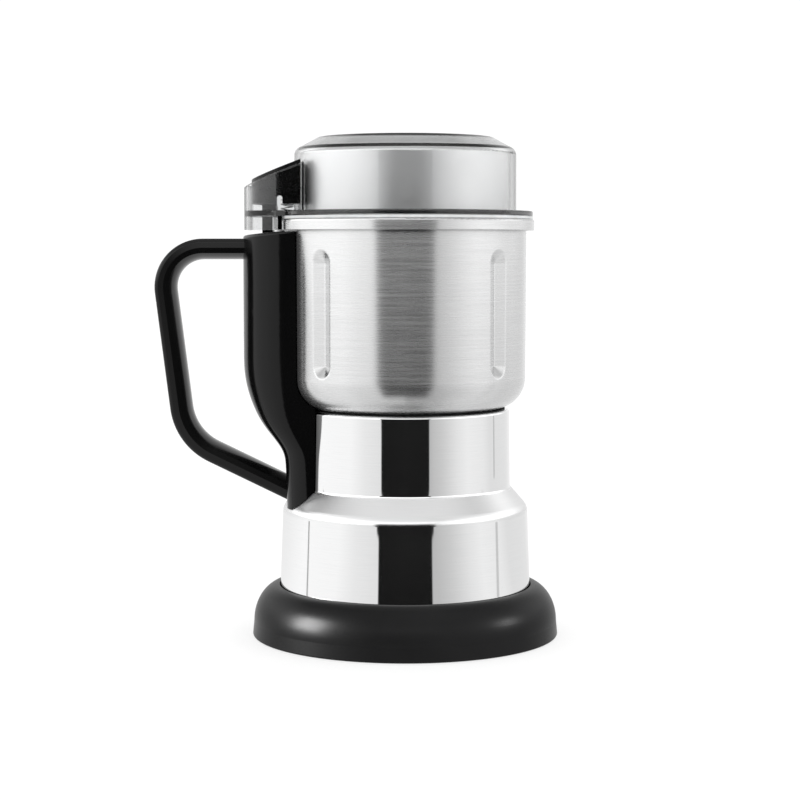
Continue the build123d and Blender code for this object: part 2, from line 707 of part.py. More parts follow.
# cross section of the grip: a shallow ridge along both faces, a full round towards the fingers
with BuildPart() as grip:
    with BuildSketch(
        Plane(origin=(COL_X + 1.6, 0, GRIP_TOP_Z), x_dir=(0, 0, 1), z_dir=(-1, 0, 0))
    ):
        with BuildLine():
            FilletPolyline(
                (GRIP_FLANK, -GRIP_W / 2 + 0.4),
                (GRIP_RIDGE, -GRIP_W / 2),
                (GRIP_T / 2, -GRIP_W / 2 + 0.5),
                (GRIP_T / 2, GRIP_W / 2 - 0.5),
                (GRIP_RIDGE, GRIP_W / 2),
                (GRIP_FLANK, GRIP_W / 2 - 0.4),
                radius=(0, 1.8, 1.8, 0),
            )
            ThreePointArc(
                (GRIP_FLANK, GRIP_W / 2 - 0.4), (-GRIP_T / 2, 0), (GRIP_FLANK, -GRIP_W / 2 + 0.4)
            )
        make_face()
    with BuildLine(Plane.XZ) as grip_path:
        FilletPolyline(
            (COL_X + 1.6, GRIP_TOP_Z), GRIP_A, GRIP_B, GRIP_END, radius=(GRIP_RA, GRIP_RB)
        )
    sweep(path=grip_path.wires()[0])


with BuildPart() as handle_shell:
    for z, x, r in COL_SECTIONS:
        with BuildSketch(Plane.XY.offset(z)):
            with BuildLine():
                FilletPolyline(
                    (-20.0, -COL_HALF), (x, -COL_HALF), (x, COL_HALF), (-20.0, COL_HALF),
                    radius=(0, r, r, 0),
                    close=True,
                )
            make_face()
    loft()
    extrude(faces().sort_by(Axis.Z)[-1], amount=44.0)
    split(bisect_by=COL_TOP, keep=Keep.BOTTOM)
    fillet(
        [
            e
            for e in handle_shell.edges()
            if e.bounding_box().min.Z > COL_TOP_Z - 0.2 and e.center().X < -21
        ],
        1.2,
    )
    add(column_cavity.part, mode=Mode.SUBTRACT)
    add(grip.part)
    add(body_space.part, mode=Mode.SUBTRACT)
    # guide for the push rod and bosses for switch and cover, all on the nose wall
    with Locations(((COL_X - 52.6 + 1.5) / 2, 0, 139.5)):
        Box(-52.6 - COL_X - 1.5, 18.0, 3.0)
    with BuildSketch(Plane(origin=(COL_X + 1.2, 0, 0), x_dir=(0, 1, 0), z_dir=(1, 0, 0))):
        with Locations((4.75, 114.6), (-4.75, 114.6)):
            Circle(2.6)
    extrude(amount=-59.2 - COL_X - 1.2)
    with BuildSketch(Plane(origin=(COL_X + 4.2, 0, 0), x_dir=(0, 1, 0), z_dir=(1, 0, 0))):
        with Locations((13.5, 131.0), (-13.5, 131.0)):
            Circle(2.8)
    extrude(amount=-49.6 - COL_X - 4.2)
    with BuildSketch(Plane.XY.offset(130)):
        with Locations((ROD_X, 0)):
            Circle(2.5 + 0.06)
    extrude(amount=15.0, mode=Mode.SUBTRACT)
    # slot in the top for the leg of the button
    with Locations(((LEG_X0 + LEG_X1) / 2, 0, 161.0)):
        Box(LEG_X1 - LEG_X0 + 1.4, 12.0, 8.0, mode=Mode.SUBTRACT)
    # opening for the inner cover
    with BuildSketch(Plane.XY.offset(104.6)):
        Circle(CAVITY_R + 0.02)
        Circle(45.0, mode=Mode.SUBTRACT)
        with Locations((-50.0, 0)):
            Rectangle(20.0, 36.0, mode=Mode.INTERSECT)
    extrude(amount=53.3, mode=Mode.SUBTRACT)
    # cable way into the housing
    with BuildSketch(Plane(origin=(-40.0, 0, 0), x_dir=(0, 1, 0), z_dir=(-1, 0, 0))):
        with Locations((0, -88.0)):
            Circle(2.7)
    extrude(amount=15.0, mode=Mode.SUBTRACT)
    # pilot holes
    with BuildSketch(Plane(origin=(-40.0, 0, 0), x_dir=(0, 1, 0), z_dir=(-1, 0, 0))):
        with Locations((0, -64.5), (0, -77.0)):
            Circle(1.45)
    extrude(amount=6.6, mode=Mode.SUBTRACT)
    with BuildSketch(Plane(origin=(-58.0, 0, 0), x_dir=(0, 1, 0), z_dir=(-1, 0, 0))):
        with Locations((4.75, -114.6), (-4.75, -114.6)):
            Circle(0.95)
    extrude(amount=4.2, mode=Mode.SUBTRACT)
    with BuildSketch(Plane(origin=(-48.0, 0, 0), x_dir=(0, 1, 0), z_dir=(-1, 0, 0))):
        with Locations((13.5, -131.0), (-13.5, -131.0)):
            Circle(1.2)
    extrude(amount=8.0, mode=Mode.SUBTRACT)

with BuildPart() as handle_cover:
    with BuildSketch(Plane.XY.offset(104.8)):
        Circle(51.1)
        Circle(48.95, mode=Mode.SUBTRACT)
        with Locations((-50.0, 0)):
            Rectangle(20.0, 35.6, mode=Mode.INTERSECT)
    extrude(amount=52.9)
    with BuildSketch(Plane(origin=(-45.0, 0, 0), x_dir=(0, 1, 0), z_dir=(-1, 0, 0))):
        with Locations((13.5, -131.0), (-13.5, -131.0)):
            Circle(1.5)
    extrude(amount=8.0, mode=Mode.SUBTRACT)
    with BuildSketch(Plane(origin=(-45.0, 0, 0), x_dir=(0, 1, 0), z_dir=(-1, 0, 0))):
        with Locations((13.5, -131.0), (-13.5, -131.0)):
            Circle(2.6)
    extrude(amount=3.4, mode=Mode.SUBTRACT)

with BuildPart() as cover_screws:
    with BuildSketch(Plane(origin=(-47.2, 0, 0), x_dir=(0, 1, 0), z_dir=(-1, 0, 0))):
        with Locations((13.5, -131.0), (-13.5, -131.0)):
            Circle(2.4)
    extrude(amount=1.2)
    with BuildSketch(Plane(origin=(-48.4, 0, 0), x_dir=(0, 1, 0), z_dir=(-1, 0, 0))):
        with Locations((13.5, -131.0), (-13.5, -131.0)):
            Circle(1.15)
    extrude(amount=7.0)

with BuildPart() as handle_screws:
    with BuildSketch(Plane(origin=(-39.2, 0, 0), x_dir=(0, 1, 0), z_dir=(-1, 0, 0))):
        with Locations((0, -64.5), (0, -77.0)):
            Circle(2.7)
    extrude(amount=1.6)
    with BuildSketch(Plane(origin=(-40.8, 0, 0), x_dir=(0, 1, 0), z_dir=(-1, 0, 0))):
        with Locations((0, -64.5), (0, -77.0)):
            Circle(1.4)
    extrude(amount=5.4)

# ---------------------------------------------------------------- switch
with BuildPart() as push_rod:
    with BuildSketch(Plane.XY.offset(124.5)):
        with Locations((ROD_X, 0)):
            Circle(2.5)
    extrude(amount=155.2 - 124.5)
    with BuildSketch(Plane.XY.offset(155.2)):
        with Locations((ROD_X, 0)):
            Circle(4.0)
    extrude(amount=3.3)

with BuildPart() as rod_spring:
    with BuildLine():
        coil = Helix(2.2, 13.0, 3.3, center=(ROD_X, 0, 141.45))
    with BuildSketch(Plane(origin=coil @ 0, z_dir=coil % 0)):
        Circle(0.35)
    sweep(path=coil, is_frenet=True)

with BuildPart() as switch_body:
    with Locations((ROD_X, 0, 117.1)):
        Box(6.4, 19.8, 10.2)
    with BuildSketch(Plane.XY.offset(116.5)):
        with Locations((ROD_X, 0)):
            Circle(1.5)
    extrude(amount=8.0, mode=Mode.SUBTRACT)
    with BuildSketch(Plane(origin=(-50.0, 0, 0), x_dir=(0, 1, 0), z_dir=(-1, 0, 0))):
        with Locations((4.75, -114.6), (-4.75, -114.6)):
            Circle(1.15)
    extrude(amount=12.0, mode=Mode.SUBTRACT)

with BuildPart() as switch_plunger:
    with BuildSketch(Plane.XY.offset(119.0)):
        with Locations((ROD_X, 0)):
            Circle(1.2)
    extrude(amount=5.4)

with BuildPart() as switch_terminals:
    with Locations((ROD_X, -7.0, 108.75), (ROD_X, 0, 108.75), (ROD_X, 7.0, 108.75)):
        Box(0.5, 3.2, 6.5)

with BuildPart() as switch_screws:
    with BuildSketch(Plane(origin=(-51.6, 0, 0), x_dir=(0, 1, 0), z_dir=(-1, 0, 0))):
        with Locations((4.75, -114.6), (-4.75, -114.6)):
            Circle(1.9)
    extrude(amount=1.1)
    with BuildSketch(Plane(origin=(-52.7, 0, 0), x_dir=(0, 1, 0), z_dir=(-1, 0, 0))):
        with Locations((4.75, -114.6), (-4.75, -114.6)):
            Circle(0.9)
    extrude(amount=9.0)

with BuildPart() as switch_leads:
    for side in (1, -1):
        with BuildLine() as lead:
            FilletPolyline(
                (ROD_X - 1.1, side * 7.0, 107.5),
                (ROD_X - 1.1, side * 7.0, 101.0),
                (-53.4, side * 1.2, 94.0),
                (-53.4, side * 1.2, 88.0),
                (-37.6, side * 1.2, 88.0),
                (-37.6, side * 1.2, 74.0),
                (-25.6, side * 1.2, 70.0),
                radius=2.4,
            )
        with BuildSketch(Plane.XY.offset(107.5)):
            with Locations((ROD_X - 1.1, side * 7.0)):
                Circle(0.8)
        sweep(path=lead.wires()[0])

# ---------------------------------------------------------------- lid
# space taken by the ear, open at the top along its slope
with BuildPart() as lid_shell:
    with BuildSketch(Plane.XY.offset(EAR_Z0)):
        with BuildLine():
            FilletPolyline(
                (-36.0, -EAR_HALF), (EAR_X, -EAR_HALF), (EAR_X, EAR_HALF), (-36.0, EAR_HALF),
                radius=(0, EAR_R, EAR_R, 0),
                close=True,
            )
        make_face()
    extrude(amount=35.0)
    split(bisect_by=EAR_PLANE, keep=Keep.BOTTOM)
    fillet(
        [
            e
            for e in lid_shell.edges()
            if abs(EAR_PLANE.to_local_coords(e @ 0).Z) < 0.01
            and abs(EAR_PLANE.to_local_coords(e @ 1).Z) < 0.01
            and e.center().X < -37
        ],
        0.8,
    )
    # inside of the ear, above and below its floor
    with BuildSketch(Plane.XY.offset(FLANGE_Z1)):
        with BuildLine():
            FilletPolyline(
                (-30.0, -EAR_HALF + EAR_WALL),
                (EAR_X + EAR_WALL, -EAR_HALF + EAR_WALL),
                (EAR_X + EAR_WALL, EAR_HALF - EAR_WALL),
                (-30.0, EAR_HALF - EAR_WALL),
                radius=(0, EAR_R - EAR_WALL, EAR_R - EAR_WALL, 0),
                close=True,
            )
        make_face()
        Circle(LID_R - 0.3, mode=Mode.SUBTRACT)
    extrude(amount=30.0, mode=Mode.SUBTRACT)
    with BuildSketch(Plane.XY.offset(EAR_Z0)):
        with BuildLine():
            FilletPolyline(
                (-30.0, -EAR_HALF + EAR_WALL),
                (EAR_X + EAR_WALL, -EAR_HALF + EAR_WALL),
                (EAR_X + EAR_WALL, EAR_HALF - EAR_WALL),
                (-30.0, EAR_HALF - EAR_WALL),
                radius=(0, EAR_R - EAR_WALL, EAR_R - EAR_WALL, 0),
                close=True,
            )
        make_face()
        Circle(53.1, mode=Mode.SUBTRACT)
    extrude(amount=FLANGE_Z0 - EAR_Z0, mode=Mode.SUBTRACT)
    with BuildSketch(Plane.XY.offset(EAR_Z0 - 1)):
        Circle(52.2)
    extrude(amount=FLANGE_Z0 - EAR_Z0 + 1, mode=Mode.SUBTRACT)
    with BuildSketch(Plane.XY.offset(FLANGE_Z0)):
        Circle(43.4)
    extrude(amount=30.0, mode=Mode.SUBTRACT)
    with Locations(((LEG_X0 + LEG_NECK_X) / 2, 0, FLANGE_Z1 + 1.0)):
        Box(
            LEG_NECK_X - LEG_X0 + 1.3, 11.4, 12.0,
            align=(Align.CENTER, Align.CENTER, Align.MAX), mode=Mode.SUBTRACT,
        )
    # cap, flange and locating spigot
    with BuildSketch(Plane.XZ):
        with BuildLine():
            FilletPolyline(
                (45.0, 163.8),
                (47.1, 163.8),
                (47.1, FLANGE_Z0),
                (FLANGE_R, FLANGE_Z0),
                (FLANGE_R, FLANGE_Z1),
                (LID_R, FLANGE_Z1),
                (LID_R - 0.1, 195.05),
                (35.2, LID_TOP),
                (0, LID_TOP),
                (0, LID_TOP - 2.0),
                (34.7, LID_TOP - 2.0),
                (LID_WALL_R, 193.9),
                (LID_WALL_R, FLANGE_Z0),
                (45.0, FLANGE_Z0),
                radius=(0.4, 0.4, 0, 0.4, 0.4, 0, 3.4, 0.8, 0, 0, 0.8, 1.4, 0.2, 0),
                close=True,
            )
        make_face()
    revolve(axis=Axis.Z)

with BuildPart() as lid_liner:
    with BuildSketch(Plane.XZ):
        with BuildLine():
            FilletPolyline(
                (40.2, 169.6), (40.7, 169.6), (40.7, 193.9), (34.2, 197.8),
                (32.5, 197.8), (32.5, 197.3), (34.05, 197.3), (40.2, 193.6),
                radius=(0, 0, 1.3, 0.5, 0, 0, 0.3, 0.8),
                close=True,
            )
        make_face()
    revolve(axis=Axis.Z)

with BuildPart() as lid_seal:
    with BuildSketch(Plane.XZ):
        with BuildLine():
            FilletPolyline(
                (47.3, 167.55), (51.15, 167.55), (51.15, FLANGE_Z0), (47.3, FLANGE_Z0),
                radius=(0.3, 0.3, 0.3, 0.3),
                close=True,
            )
        make_face()
    revolve(axis=Axis.Z)

SPRING_AT = (-48.0, 12.0)
BUTTON_TOP = EAR_PLANE.offset(BUTTON_RISE)
BUTTON_UNDER = EAR_PLANE.offset(BUTTON_RISE - 2.2)
B_HALF = EAR_HALF - EAR_WALL - BUTTON_GAP
B_X = EAR_X + EAR_WALL + BUTTON_NOSE_GAP
B_R = EAR_R - EAR_WALL - 1.1

# hollow under the button
with BuildPart() as button_hollow:
    with BuildSketch(Plane.XY.offset(170.0)):
        with BuildLine():
            FilletPolyline(
                (-30.0, -B_HALF + 1.6), (B_X + 1.6, -B_HALF + 1.6),
                (B_X + 1.6, B_HALF - 1.6), (-30.0, B_HALF - 1.6),
                radius=(0, B_R - 1.6, B_R - 1.6, 0),
                close=True,
            )
        make_face()
        Circle(LID_R + BUTTON_GAP + 1.8, mode=Mode.SUBTRACT)
    extrude(amount=30.0)
    split(bisect_by=BUTTON_UNDER, keep=Keep.BOTTOM)
    with Locations(((LEG_X0 + LEG_NECK_X) / 2, 0, 180.0)):
        Box(LEG_NECK_X - LEG_X0, 10.0, 40.0, mode=Mode.SUBTRACT)
    with BuildSketch(Plane.XY.offset(179.5)):
        with Locations(SPRING_AT):
            Circle(2.4)
    extrude(amount=20.0, mode=Mode.SUBTRACT)

with BuildPart() as start_button:
    with BuildSketch(Plane.XY.offset(173.5)):
        with BuildLine():
            FilletPolyline(
                (-30.0, -B_HALF), (B_X, -B_HALF), (B_X, B_HALF), (-30.0, B_HALF),
                radius=(0, B_R, B_R, 0),
                close=True,
            )
        make_face()
        Circle(LID_R + BUTTON_GAP, mode=Mode.SUBTRACT)
    extrude(amount=30.0)
    split(bisect_by=BUTTON_TOP, keep=Keep.BOTTOM)
    add(button_hollow.part, mode=Mode.SUBTRACT)
    with Locations(((LEG_X0 + LEG_X1) / 2, 0, 158.8)):
        Box(LEG_X1 - LEG_X0, 10.0, 18.0, align=(Align.CENTER, Align.CENTER, Align.MIN))
    with Locations(((LEG_X0 + LEG_NECK_X) / 2, 0, 169.9)):
        Box(LEG_NECK_X - LEG_X0, 10.0, 8.0, align=(Align.CENTER, Align.CENTER, Align.MIN))
    # relief beside the leg, drafted a little across the button
    with BuildSketch(Plane(origin=(-50.4, 0, 174.8), x_dir=(1, 0.064, 0), z_dir=(-0.064, 1, 0.024))):
        SlotOverall(4.8, 2.3, rotation=90)
    extrude(amount=25.0, both=True, mode=Mode.SUBTRACT)

with BuildPart() as button_spring:
    with BuildLine():
        coil = Helix(1.8, 7.9, 2.3, center=(*SPRING_AT, 171.2))
    with BuildSketch(Plane(origin=coil @ 0, z_dir=coil % 0)):
        Circle(0.3)
    sweep(path=coil, is_frenet=True)

# ---------------------------------------------------------------- output
pieces = {
    "base_ring": base_ring,
    "base_plate": base_plate,
    "base_screws": base_screws,
    "housing_screws": housing_screws,
    "foot_ring": foot_ring,
    "cord_grommet": cord_grommet,
    "motor_housing": motor_housing,
    "bowl": bowl,
    "bowl_gasket": bowl_gasket,
    "bowl_screws": bowl_screws,
    "shaft_seal": shaft_seal,
    "blade_spacer": blade_spacer,
    "blade_lower": blade_lower,
    "blade_upper": blade_upper,
    "blade_washer": blade_washer,
    "blade_nut": blade_nut,
    "motor_shaft": motor_shaft,
    "armature_core": armature_core,
    "armature_winding": armature_winding,
    "commutator": commutator,
    "cooling_fan": cooling_fan,
    "stator_core": stator_core,
    "stator_coils": stator_coils,
    "motor_upper_bracket": motor_upper_bracket,
    "upper_bush": upper_bush,
    "motor_lower_bracket": motor_lower_bracket,
    "lower_bush": lower_bush,
    "motor_bolts": motor_bolts,
    "brush_holders": brush_holders,
    "carbon_brushes": carbon_brushes,
    "brush_springs": brush_springs,
    "handle_shell": handle_shell,
    "handle_cover": handle_cover,
    "cover_screws": cover_screws,
    "handle_screws": handle_screws,
    "push_rod": push_rod,
    "rod_spring": rod_spring,
    "switch_body": switch_body,
    "switch_plunger": switch_plunger,
    "switch_terminals": switch_terminals,
    "switch_screws": switch_screws,
    "switch_leads": switch_leads,
    "lid_shell": lid_shell,
    "lid_liner": lid_liner,
    "lid_seal": lid_seal,
    "start_button": start_button,
    "button_spring": button_spring,
}
for label, piece in pieces.items():
    piece.part.label = label
    export_step(piece.part, "parts/" + label + ".step")
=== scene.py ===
import math

import bmesh
import bpy
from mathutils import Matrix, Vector


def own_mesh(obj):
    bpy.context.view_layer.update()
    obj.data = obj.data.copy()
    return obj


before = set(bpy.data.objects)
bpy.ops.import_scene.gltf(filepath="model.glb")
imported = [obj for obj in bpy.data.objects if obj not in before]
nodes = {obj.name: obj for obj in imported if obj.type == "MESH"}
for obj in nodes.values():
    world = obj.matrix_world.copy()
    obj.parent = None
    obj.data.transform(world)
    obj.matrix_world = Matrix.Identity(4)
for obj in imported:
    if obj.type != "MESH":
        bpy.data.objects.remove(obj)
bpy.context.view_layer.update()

scene = bpy.context.scene

MM = 0.001

# ------------------------------------------------------------------ view
# the plain display transform keeps the white of the studio white
scene.view_settings.view_transform = "Standard"
scene.view_settings.look = "None"
scene.view_settings.exposure = 0.0
scene.view_settings.gamma = 1.0

cam_data = bpy.data.cameras.new("camera")
cam_data.sensor_width = 36.0
cam_data.lens = 86.565
cam_data.clip_start = 0.01
cam_data.clip_end = 50.0
cam = bpy.data.objects.new("camera", cam_data)
cam.location = (-0.002096, -0.77488, 0.15604)
cam.rotation_euler = (math.radians(90.0 - 4.510), 0.0, 0.0)
scene.collection.objects.link(cam)
scene.camera = cam


# ------------------------------------------------------------------ node helpers
class Mat:
    """A node material with one principled shader and small helpers."""

    def __init__(self, name, **sockets):
        self.m = bpy.data.materials.new(name)
        self.m.use_nodes = True
        self.t = self.m.node_tree
        self.t.nodes.clear()
        self.out = self.t.nodes.new("ShaderNodeOutputMaterial")
        self.p = self.t.nodes.new("ShaderNodeBsdfPrincipled")
        self.t.links.new(self.p.outputs["BSDF"], self.out.inputs["Surface"])
        for key, value in sockets.items():
            self.p.inputs[key.replace("_", " ")].default_value = value
        self._obj = None

    def set(self, socket, value):
        self.p.inputs[socket].default_value = value

    def link(self, a, b):
        self.t.links.new(a, b)

    def node(self, kind, **attrs):
        n = self.t.nodes.new(kind)
        for key, value in attrs.items():
            setattr(n, key, value)
        return n

    def coords(self):
        if self._obj is None:
            self._obj = self.node("ShaderNodeTexCoord").outputs["Object"]
        return self._obj

    def math(self, op, a, b=None, c=None):
        n = self.node("ShaderNodeMath", operation=op)
        for i, v in enumerate((a, b, c)):
            if v is None:
                continue
            if isinstance(v, (int, float)):
                n.inputs[i].default_value = v
            else:
                self.link(v, n.inputs[i])
        return n.outputs[0]

    def scaled(self, sx, sy, sz, vec=None):
        n = self.node("ShaderNodeVectorMath", operation="MULTIPLY")
        self.link(vec if vec is not None else self.coords(), n.inputs[0])
        n.inputs[1].default_value = (sx, sy, sz)
        return n.outputs[0]

    def round_coords(self, k_angle, k_height, k_radius=0.0):
        """Coordinates that run round the Z axis: angle, height, radius."""
        sep = self.node("ShaderNodeSeparateXYZ")
        self.link(self.coords(), sep.inputs[0])
        x, y, z = sep.outputs
        ang = self.math("ARCTAN2", y, self.math("MULTIPLY", x, 1.0))
        rad = self.math("SQRT", self.math("ADD", self.math("MULTIPLY", x, x), self.math("MULTIPLY", y, y)))
        comb = self.node("ShaderNodeCombineXYZ")
        self.link(self.math("MULTIPLY", ang, k_angle), comb.inputs[0])
        self.link(self.math("MULTIPLY", z, k_height), comb.inputs[1])
        self.link(self.math("MULTIPLY", rad, k_radius), comb.inputs[2])
        return comb.outputs[0]

    def noise(self, vec, scale, detail=2.0, rough=0.5, distortion=0.0):
        n = self.node("ShaderNodeTexNoise")
        n.inputs["Scale"].default_value = scale
        n.inputs["Detail"].default_value = detail
        n.inputs["Roughness"].default_value = rough
        n.inputs["Distortion"].default_value = distortion
        self.link(vec, n.inputs["Vector"])
        return n.outputs["Fac"]

    def voronoi(self, vec, scale, feature="F1"):
        n = self.node("ShaderNodeTexVoronoi", feature=feature)
        n.inputs["Scale"].default_value = scale
        self.link(vec, n.inputs["Vector"])
        return n.outputs["Distance"]

    def wave(self, vec, scale, direction="Z", distortion=0.0, detail=0.0, kind="BANDS"):
        n = self.node("ShaderNodeTexWave", wave_type=kind)
        if kind == "BANDS":
            n.bands_direction = direction
        n.inputs["Scale"].default_value = scale
        n.inputs["Distortion"].default_value = distortion
        n.inputs["Detail"].default_value = detail
        self.link(vec, n.inputs["Vector"])
        return n.outputs["Fac"]

    def spread(self, fac, lo, hi, a=0.3, b=0.7):
        """fac from a..b onto lo..hi."""
        n = self.node("ShaderNodeMapRange")
        n.inputs["From Min"].default_value = a
        n.inputs["From Max"].default_value = b
        n.inputs["To Min"].default_value = lo
        n.inputs["To Max"].default_value = hi
        self.link(fac, n.inputs["Value"])
        return n.outputs["Result"]

    def ramp(self, fac, stops, interpolation="LINEAR"):
        n = self.node("ShaderNodeValToRGB")
        n.color_ramp.interpolation = interpolation
        el = n.color_ramp.elements
        while len(el) < len(stops):
            el.new(0.5)
        for e, (pos, col) in zip(el, stops):
            e.position = pos
        for e, (pos, col) in zip(el, stops):
            e.position = pos
            e.color = (*col, 1.0) if isinstance(col, tuple) else (col, col, col, 1.0)
        self.link(fac, n.inputs["Fac"])
        return n.outputs["Color"]

    def color(self, fac, dark, light, a=0.3, b=0.7):
        self.link(self.ramp(fac, [(a, dark), (b, light)]), self.p.inputs["Base Color"])

    def roughness(self, fac, lo, hi, a=0.3, b=0.7):
        self.link(self.spread(fac, lo, hi, a, b), self.p.inputs["Roughness"])

    def bump(self, height, strength, distance, below=None):
        n = self.node("ShaderNodeBump")
        n.inputs["Strength"].default_value = strength
        n.inputs["Distance"].default_value = distance
        self.link(height, n.inputs["Height"])
        if below is not None:
            self.link(below, n.inputs["Normal"])
        self.link(n.outputs["Normal"], self.p.inputs["Normal"])
        return n.outputs["Normal"]


# ------------------------------------------------------------------ materials
def polished_steel(name):
    """Drawn and buffed sheet: a mirror with faint lines round the axis."""
    m = Mat(name, Metallic=1.0)
    lines = m.noise(m.round_coords(3.0, 2600.0), 1.0, 3.0, 0.6)
    cloud = m.noise(m.coords(), 38.0, 3.0, 0.55)
    sheet = m.ramp(lines, [(0.25, (0.865, 0.868, 0.872)), (0.75, (0.905, 0.905, 0.905))])
    # painted shade: the conical shoulder's colour is scaled down to 0.86 so it mirrors less light than the drawn
    # walls; the same mask also makes it rougher
    sep = m.node("ShaderNodeSeparateXYZ")
    m.link(m.coords(), sep.inputs[0])
    low = m.spread(sep.outputs[2], 0.0, 1.0, 0.0500, 0.0525)
    high = m.spread(sep.outputs[2], 1.0, 0.0, 0.0597, 0.0607)
    cone_shade_and_rough = m.math("MULTIPLY", low, high)
    tone = m.node("ShaderNodeVectorMath", operation="SCALE")
    m.link(sheet, tone.inputs[0])
    m.link(m.spread(cone_shade_and_rough, 1.0, 0.86, 0.0, 1.0), tone.inputs["Scale"])
    m.link(tone.outputs[0], m.p.inputs["Base Color"])
    m.link(m.math("ADD", m.spread(cloud, 0.030, 0.060), m.math("MULTIPLY", cone_shade_and_rough, 0.30)), m.p.inputs["Roughness"])
    m.bump(lines, 0.012, 0.00002)
    return m.m


def brushed_steel(name):
    """Sheet brushed round the axis: streaks of uneven length and depth."""
    m = Mat(name, Metallic=1.0, Anisotropic=0.86, Anisotropic_Rotation=0.25)
    fine = m.noise(m.round_coords(7.0, 5200.0), 1.0, 4.0, 0.65)
    long = m.noise(m.round_coords(1.6, 1500.0), 1.0, 3.0, 0.6)
    both = m.math("MULTIPLY_ADD", fine, 0.55, m.math("MULTIPLY", long, 0.45))
    sheet = m.ramp(both, [(0.30, (0.645, 0.648, 0.651)), (0.70, (0.74, 0.74, 0.74))])
    # painted shade: where the lower ends of the flutes face upward their colour is darkened by up to half, so they
    # mirror less of the bright room
    at = m.node("ShaderNodeSeparateXYZ")
    m.link(m.coords(), at.inputs[0])
    up = m.node("ShaderNodeSeparateXYZ")
    m.link(m.node("ShaderNodeTexCoord").outputs["Normal"], up.inputs[0])
    flute_end_shade = m.math("MULTIPLY", m.spread(up.outputs[2], 0.0, 0.5, 0.10, 0.35), m.spread(at.outputs[2], 0.0, 1.0, 0.104, 0.107))
    flute_end_shade = m.math("MULTIPLY", flute_end_shade, m.spread(at.outputs[2], 1.0, 0.0, 0.120, 0.124))
    tone = m.node("ShaderNodeVectorMath", operation="SCALE")
    m.link(sheet, tone.inputs[0])
    m.link(m.math("SUBTRACT", 1.0, flute_end_shade), tone.inputs["Scale"])
    m.link(tone.outputs[0], m.p.inputs["Base Color"])
    m.roughness(long, 0.23, 0.30)
    m.bump(both, 0.08, 0.00003)
    tan = m.node("ShaderNodeTangent", direction_type="RADIAL", axis="Z")
    m.link(tan.outputs[0], m.p.inputs["Tangent"])
    return m.m


def satin_steel(name):
    """Fine satin sheet, softer than the brushed bowl."""
    m = Mat(name, Metallic=1.0)
    fine = m.noise(m.round_coords(9.0, 6500.0), 1.0, 4.0, 0.6)
    cloud = m.noise(m.coords(), 60.0, 2.0, 0.5)
    m.color(fine, (0.955, 0.957, 0.960), (0.99, 0.99, 0.99), 0.3, 0.7)
    m.roughness(cloud, 0.40, 0.45)
    m.bump(fine, 0.05, 0.00002)
    return m.m


def machined_steel(name, dark, light, rough, line_scale=1400.0):
    """Turned or ground steel with lines round the axis."""
    m = Mat(name, Metallic=1.0)
    lines = m.noise(m.scaled(1.0, 1.0, 1.6), line_scale, 2.0, 0.5)
    cloud = m.noise(m.coords(), 180.0, 4.0, 0.6)
    m.color(cloud, (dark, dark, dark * 1.01), (light, light, light))
    m.roughness(lines, rough * 0.75, rough * 1.35)
    m.bump(lines, 0.08, 0.00002)
    return m.m


def gloss_black(name, base=0.0028, lo=0.10, hi=0.17, level=0.26):
    """Glossy black moulding: slight flow marks, very fine orange peel."""
    m = Mat(name, Metallic=0.0)
    m.set("Specular IOR Level", level)
    flow = m.noise(m.scaled(1.0, 1.0, 0.35), 26.0, 3.0, 0.5, 0.4)
    peel = m.noise(m.coords(), 420.0, 2.0, 0.5)
    m.color(flow, (base * 0.75, base * 0.75, base * 0.78), (base * 1.35, base * 1.35, base * 1.38))
    m.roughness(flow, lo, hi)
    m.bump(peel, 0.035, 0.00008)
    return m.m


def satin_black(name, base=0.0125, lo=0.26, hi=0.36, level=0.06):
    """Satin black moulding with a fine spark-eroded grain."""
    m = Mat(name, Metallic=0.0)
    m.set("Specular IOR Level", level)
    grain = m.noise(m.coords(), 2600.0, 3.0, 0.6)
    flow = m.noise(m.coords(), 22.0, 3.0, 0.5, 0.3)
    m.color(flow, (base * 0.8, base * 0.8, base * 0.82), (base * 1.3, base * 1.3, base * 1.33))
    m.roughness(grain, lo, hi)
    m.bump(grain, 0.06, 0.00005)
    return m.m


